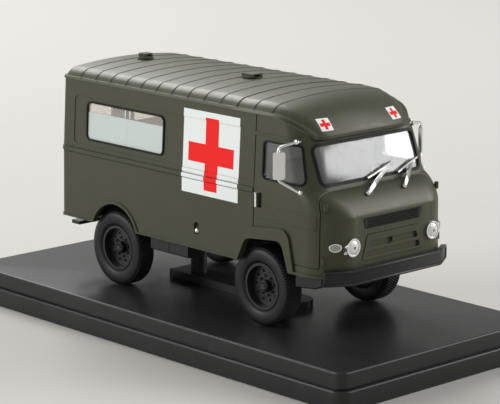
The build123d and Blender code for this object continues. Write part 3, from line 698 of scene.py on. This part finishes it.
@dataclass
class WheelSet:
    """One axle's pin with its two wheels and treaded tyres, which turn together.

    Sizes are in millimetres. The profile is half the tyre's section, as radius and distance from the tyre's
    middle, from the bead to the middle of the tread.
    """

    finishes: Finishes
    end: str
    axle_x: float
    middle_y: float = 18.5
    lugs: int = 82
    steps_per_lug: int = 6
    slot_start: float = 0.05
    slot_slope: float = 3.0
    tread_depth: float = 0.42
    tread_foot: float = 9.78
    tread_ramp: float = 0.12
    notch_depth: float = 0.45
    notch_start: float = 2.0
    notch_ramp: float = 0.2
    row_width: float = 0.66
    groove: float = 0.19
    last_groove: float = 2.0
    ring_radius: float = 6.95
    ring_half: float = 0.12
    ring_height: float = 0.063
    wall_spots: int = 15
    tread_spots: int = 36
    wheel_nuts: Nuts = Nuts("wheel_nuts", 8, circle=2.62, radius=0.36, height=0.42, face=0.3)
    hub_bolts: Nuts = Nuts("hub_bolts", 8, circle=1.06, radius=0.21, height=0.24, face=2.0)
    profile: tuple[tuple[float, float], ...] = (
        (6.2, 1.9), (6.5, 2.35), (7.0, 2.68), (7.6, 2.86), (8.2, 2.92), (8.8, 2.87), (9.3, 2.75), (9.7, 2.6),
        (10.0, 2.47), (10.22, 2.32), (10.4, 2.0), (10.45, 1.2), (10.45, 0.0))

    @property
    def body(self) -> str:
        """The body that the set turns with."""
        return f"{self.end}_wheels"

    def build(self) -> None:
        """Build the tyres and nuts and dress the wheels and the pin."""
        dress(f"axle_pin_{self.end}", self.finishes.pin)
        for side in Side:
            dress(f"wheel_{self.end}_{side.label}", self.finishes.wheel)
            tyre = self.tyre(side)
            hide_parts(f"tyre_{self.end}_{side.label}")
            add(tyre, self.body, self.finishes.tyre)
            for nuts in (self.wheel_nuts, self.hub_bolts):
                add(self.nut_ring(nuts, side), self.body, self.finishes.wheel, smooth=False)

    def place(self, radius: np.ndarray, turn: np.ndarray, out: np.ndarray, side: Side) -> np.ndarray:
        """Carry wheel coordinates into the frame.

        Args:
            radius: Distances from the axle in millimetres.
            turn: Angles round the axle.
            out: Distances outwards from the tyre's middle in millimetres.
            side: The side of the van.

        Returns:
            Points in metres, with the inputs' common shape and a last axis of three.
        """
        radius, turn, out = np.broadcast_arrays(radius, turn, out)
        x = VAN.rear_axle_x + self.axle_x + radius * np.cos(turn)
        z = VAN.ground + VAN.axle_z + radius * np.sin(turn)
        return np.stack([x, side.value * (self.middle_y + out), z], -1) * MM

    def section(self) -> tuple[np.ndarray, np.ndarray]:
        """Sample the tyre's section from bead to bead by arc length, most closely on the tread.

        Returns:
            The radii and the distances from the tyre's middle, in millimetres.
        """
        half = np.array(self.profile)
        arc = np.concatenate([[0], np.cumsum(np.linalg.norm(np.diff(half, axis=0), axis=1))])
        start = np.interp(self.tread_foot, half[:, 0], arc)
        wall = np.linspace(0, start, self.wall_spots)
        spots = np.concatenate([wall, np.linspace(start, arc[-1], self.tread_spots)[1:]])
        r = np.interp(spots, arc, half[:, 0])
        y = np.interp(spots, arc, half[:, 1])
        return np.concatenate([r, r[-2::-1]]), np.concatenate([y, -y[-2::-1]])

    def tyre(self, side: Side) -> bpy.types.Object:
        """Make one tyre as a ring surface.

        The section is carried round the axle and closes across the bead. Over the tread it is cut into rows of
        blocks: the radius drops by the tread depth between rows, and round the axle where a square-like wave is
        high. Each row's wave is half a step on from the next row's, as bricks are laid. On the shoulders the
        same wave also draws the surface in towards the middle, which notches the edge. A narrow ring stands on
        the sidewall beside the rim.

        Args:
            side: The side of the van.

        Returns:
            The tyre.
        """
        r, y = self.section()
        turn = np.linspace(0, FULL_TURN, self.lugs * self.steps_per_lug + 1)[:-1, None]
        row = np.floor(y / self.row_width + 0.5)[None, :]
        wave = np.cos(self.lugs * turn + math.pi * row)
        slot = np.clip((wave - self.slot_start) * self.slot_slope, 0, 1)
        tread = np.clip((r - self.tread_foot) / self.tread_ramp, 0, 1)
        between = np.abs(np.abs(y / self.row_width) % 1.0 - 0.5) < self.groove
        grooved = between & (np.abs(y) < self.last_groove)
        drop = self.tread_depth * tread[None, :] * np.maximum(slot, grooved[None, :])
        edge = np.clip((np.abs(y) - self.notch_start) / self.notch_ramp, 0, 1) * tread
        notch = self.notch_depth * (edge * np.sign(y))[None, :] * slot
        ring = self.ring_height * np.exp(-((r - self.ring_radius) / self.ring_half) ** 2) * np.sign(y)
        grid = self.place(r[None, :] - drop, turn, (y + ring)[None, :] - notch, side)
        return lattice(f"treaded_tyre_{self.end}_{side.label}", grid[None], True, True)

    def nut_ring(self, nuts: Nuts, side: Side) -> bpy.types.Object:
        """Make one ring of hexagon nuts.

        Each nut is a six-sided section carried from its face outwards, then drawn in over a small chamfer to a
        short stud and closed to a point.

        Args:
            nuts: The ring's sizes.
            side: The side of the van.

        Returns:
            The nuts as one piece.
        """
        spin = np.arange(nuts.count)[:, None, None] * FULL_TURN / nuts.count + nuts.turn
        corner = np.linspace(0, FULL_TURN, 7)[:-1][None, None, :]
        rise, scale = np.array(nuts.section).T[:, None, :, None]
        rise, scale = rise * nuts.height, scale * nuts.radius
        px = nuts.circle * np.cos(spin) + scale * np.cos(corner + spin)
        pz = nuts.circle * np.sin(spin) + scale * np.sin(corner + spin)
        grid = self.place(np.hypot(px, pz), np.arctan2(pz, px), nuts.face + rise, side)
        return lattice(f"{nuts.name}_{self.end}_{side.label}", grid, False, True)


@dataclass
class Body:
    """The load box, the roof and the cab's skin with their prints."""

    finishes: Finishes
    plain: tuple[str, ...] = ("rear_panel", "cab_shell", "front_arch_flares", "roof_vents", "engine_hatch",
                              "door_hinges")
    roof_smooth: float = 40.0

    def dress(self) -> None:
        """Dress the body panels."""
        for side in Side:
            dress(f"side_panel_{side.label}", self.finishes.side_paint)
        dress("roof", self.finishes.dome_paint, self.roof_smooth)
        for node in self.plain:
            dress(node, self.finishes.paint)


@dataclass
class Windows:
    """The panes, their seals and the bars of the side windows' clear strip, with sizes in millimetres."""

    finishes: Finishes
    strip_foot: float = 47.9
    strip_top: float = 50.2
    bar_x: tuple[float, ...] = (5.35, 7.3)
    bar_width: float = 0.45
    bar_depth: float = 0.30
    pane_depth: float = 0.30

    def build(self) -> None:
        """Dress the panes and seals and add the bars."""
        dress("window_seals", self.finishes.seal)
        dress("side_windows", self.finishes.frosted)
        dress("windscreen", self.finishes.screen)
        for node in ("rear_windows", "door_windows"):
            dress(node, self.finishes.clear)
        for side in Side:
            add(self.strip_bars(side), ROOT, self.finishes.bar)

    def strip_bars(self, side: Side) -> bpy.types.Object:
        """Make the two upright bars of a side window's clear strip.

        Args:
            side: The side of the van.

        Returns:
            The bars as one piece.
        """
        heights = (self.strip_foot, self.strip_top)
        ends = np.array([[self.on_pane(x, height, side) for height in heights] for x in self.bar_x])
        out = np.tile([0.0, float(side.value), 0.0], (len(ends), 1))
        return rounded_bars(f"window_bars_{side.label}", ends, out, self.bar_width, self.bar_depth)

    def on_pane(self, along: float, height: float, side: Side) -> Point:
        """A point of the frame in millimetres on the outside of a side pane."""
        out = VAN.half_width(height) - self.pane_depth
        return (VAN.rear_axle_x + along, side.value * out, VAN.ground + height)


@dataclass
class Fittings:
    """Bumper, lamps, grille, steps, mirrors, wipers and handles.

    Places are in millimetres along the van, to its left and above the plinth.
    """

    finishes: Finishes
    mirror_feet: tuple[Point, ...] = ((71.3, -20.9, 50.45), (73.95, -22.05, 37.9), (72.7, 19.85, 50.55),
                                      (74.7, 21.75, 38.5))
    foot_half: Point = (0.95, 0.45, 0.75)
    wiper_pivots: tuple[Point, ...] = ((82.0, -5.8, 36.9), (82.0, 7.6, 36.9))
    wiper_tips: tuple[Point, ...] = ((78.15, 4.4, 41.2), (78.15, 14.2, 41.2))
    sleeve_reach: float = 0.62
    sleeve_width: float = 1.35
    sleeve_depth: float = 0.75
    cap_half: Point = (0.6, 0.75, 0.75)
    screen_out: Point = (0.943, 0.0, 0.332)
    bumper_plan: tuple[tuple[float, float], ...] = ((83.1, -22.4), (86.9, -16.2), (86.9, 16.2), (83.1, 22.4))
    bumper_foot: float = 15.6
    bumper_top: float = 18.9
    lip_width: float = 0.62
    lip_depth: float = 0.75

    def build(self) -> None:
        """Dress the fittings and add the mirrors' feet, the wipers' sleeves and caps and the bumper's lips."""
        self.dress()
        base = np.array([VAN.rear_axle_x, 0.0, VAN.ground])
        pivots, tips = np.array(self.wiper_pivots) + base, np.array(self.wiper_tips) + base
        sleeves = np.stack([pivots, pivots + (tips - pivots) * self.sleeve_reach], 1)
        out = np.tile(self.screen_out, (len(sleeves), 1))
        bright = (
            beads("mirror_feet", np.array(self.mirror_feet) + base, self.foot_half),
            rounded_bars("wiper_sleeves", sleeves, out, self.sleeve_width, self.sleeve_depth),
            beads("wiper_caps", pivots, self.cap_half),
        )
        for piece in bright:
            add(piece, ROOT, self.finishes.chrome)
        add(self.bumper_lips(), ROOT, self.finishes.lip)

    def bumper_lips(self) -> bpy.types.Object:
        """Make the rolled lips along the bumper's top and foot and round its two ends.

        Returns:
            The lips as one piece.
        """
        plan = np.array(self.bumper_plan) + (VAN.rear_axle_x, 0.0)
        low, high = (np.column_stack([plan, np.full(len(plan), VAN.ground + height)])
                     for height in (self.bumper_foot, self.bumper_top))
        level = [np.stack([row[:-1], row[1:]], 1) for row in (low, high)]
        ends = np.concatenate([*level, np.stack([low[[0, -1]], high[[0, -1]]], 1)])
        along = plan[1:] - plan[:-1]
        facing = np.column_stack([along[:, 1], -along[:, 0], 0 * along[:, 0]])
        out = np.concatenate([facing, facing, facing[[0, -1]]])
        return rounded_bars("bumper_lips", ends, out, self.lip_width, self.lip_depth)

    def dress(self) -> None:
        """Dress the fittings."""
        finishes = self.finishes
        rows = (
            (finishes.bumper, ("front_bumper",)),
            (finishes.black, ("bumper_irons", "cab_steps")),
            (finishes.grille, ("grille",)),
            (finishes.chrome, ("headlight_bezels", "indicator_bezels", "wiper_right", "wiper_left", "door_handles",
                               "fuel_filler")),
            (finishes.headlight, ("headlight_lenses",)),
            (finishes.indicator, ("indicators",)),
            (finishes.mirror, ("mirror_right", "mirror_left")),
            (finishes.red_lens, ("tail_lamps",)),
        )
        for material, nodes in rows:
            for node in nodes:
                dress(node, material)


@dataclass
class Cabin:
    """What shows through the windows."""

    finishes: Finishes

    def dress(self) -> None:
        """Dress the interior."""
        for node in ("bulkhead", "engine_cover"):
            dress(node, self.finishes.interior)
        for node in ("seats", "dashboard", "steering_wheel"):
            dress(node, self.finishes.seat)


@dataclass(frozen=True)
class SoftLight:
    """A square soft light: its place and aim, its side in metres and its power in watts."""

    name: str
    place: Point
    aim: Point
    size: float
    power: float


@dataclass
class Studio:
    """A pale floor, soft lights and the camera at the photograph's angle.

    The camera's target and distance are in millimetres, and its focal length and centre in the picture's pixels.
    """

    azimuth: float = 47.02
    elevation: float = 12.42
    target: Point = (5.30, 0.0, 35.70)
    distance: float = 617.3
    focal_pixels: float = 2274.1
    image: tuple[int, int] = (500, 404)
    centre: tuple[float, float] = (253.91, 200.68)
    sensor: float = 36.0
    clip: tuple[float, float] = (0.01, 20.0)
    floor_size: float = 6.0
    floor_colour: Colour = (0.485, 0.473, 0.447)
    air_colour: Colour = (1.0, 0.985, 0.96)
    air_strength: float = 0.38
    lights: tuple[SoftLight, ...] = (
        SoftLight("key", (-0.92, 0.32, 0.93), (0.0, 0.0, 0.03), 0.8, 14.5),
        SoftLight("screen", (0.622, 0.903, 0.44), (0.045, 0.0, 0.05), 0.5, 5.6),
        SoftLight("side", (-0.72, -1.02, 0.55), (0.0, 0.0, 0.04), 0.7, 10.3),
        SoftLight("dome", (0.55, 0.80, 0.95), (0.03, 0.0, 0.06), 0.6, 4.0),
    )

    def build(self) -> None:
        """Make the floor, the lights and the camera."""
        self.floor()
        self.world()
        for light in self.lights:
            self.hang(light)
        self.camera()
        bpy.context.scene.view_settings.view_transform = "Standard"

    def floor(self) -> None:
        """Make the floor as a flat two by two grid."""
        edge = np.array([-self.floor_size / 2, self.floor_size / 2])
        x, y = np.meshgrid(edge, edge, indexing="ij")
        plane = lattice("studio_floor", np.stack([x, y, 0 * x], -1)[None], False, False)
        paper = Finish("studio_paper", self.floor_colour, drift=0.01, roughness=0.7, specular=0.2, grain=300.0,
                       grain_depth=1e-6)
        plane.data.materials.append(paper.make())

    def world(self) -> None:
        """Light everything softly from all round."""
        world = bpy.data.worlds.new("studio_air")
        world.use_nodes = True
        air = world.node_tree.nodes["Background"]
        air.inputs["Color"].default_value = (*self.air_colour, 1.0)
        air.inputs["Strength"].default_value = self.air_strength
        bpy.context.scene.world = world

    def hang(self, light: SoftLight) -> None:
        """Hang one soft light.

        Args:
            light: The light's sizes.
        """
        lamp = bpy.data.lights.new(light.name, "AREA")
        lamp.shape = "SQUARE"
        lamp.size = light.size
        lamp.energy = light.power
        hung = bpy.data.objects.new(light.name, lamp)
        hung.location = light.place
        hung.rotation_euler = self.look(np.array(light.place), np.array(light.aim))
        bpy.context.scene.collection.objects.link(hung)

    @staticmethod
    def look(place: np.ndarray, aim: np.ndarray) -> tuple[float, float, float]:
        """The turn that points an object's own -Z from a place at an aim, with its own Y upwards.

        Args:
            place: The object's place.
            aim: The point that it looks at.

        Returns:
            Euler angles in the usual order.
        """
        line = aim - place
        tilt = math.acos(-line[2] / float(np.linalg.norm(line)))
        heading = math.atan2(line[1], line[0]) - math.pi / 2
        return (tilt, 0.0, heading)

    def camera(self) -> None:
        """Put the camera at the photograph's angle."""
        az, el = math.radians(self.azimuth), math.radians(self.elevation)
        aim = np.array(self.target) * MM
        way = np.array([math.sin(az) * math.cos(el), -math.cos(az) * math.cos(el), math.sin(el)])
        width, height = self.image
        lens = bpy.data.cameras.new("photo_camera")
        lens.sensor_width = self.sensor
        lens.lens = self.focal_pixels / width * self.sensor
        lens.shift_x = (width / 2 - self.centre[0]) / width
        lens.shift_y = (self.centre[1] - height / 2) / width
        lens.clip_start, lens.clip_end = self.clip
        seen = bpy.data.objects.new("photo_camera", lens)
        seen.location = aim + way * self.distance * MM
        seen.rotation_euler = self.look(np.array(seen.location), aim)
        bpy.context.scene.collection.objects.link(seen)
        bpy.context.scene.camera = seen


def main() -> None:
    """Build the looks in order."""
    logging.basicConfig(level=logging.INFO, format="%(name)s: %(message)s")
    Studio().build()
    finishes = Finishes()
    Plinth(finishes).dress()
    RunningGear(finishes).dress()
    WheelSet(finishes, "rear", 0.0).build()
    WheelSet(finishes, "front", VAN.wheelbase).build()
    Body(finishes).dress()
    Windows(finishes).build()
    Fittings(finishes).build()
    Cabin(finishes).dress()


if __name__ == "__main__":
    main()
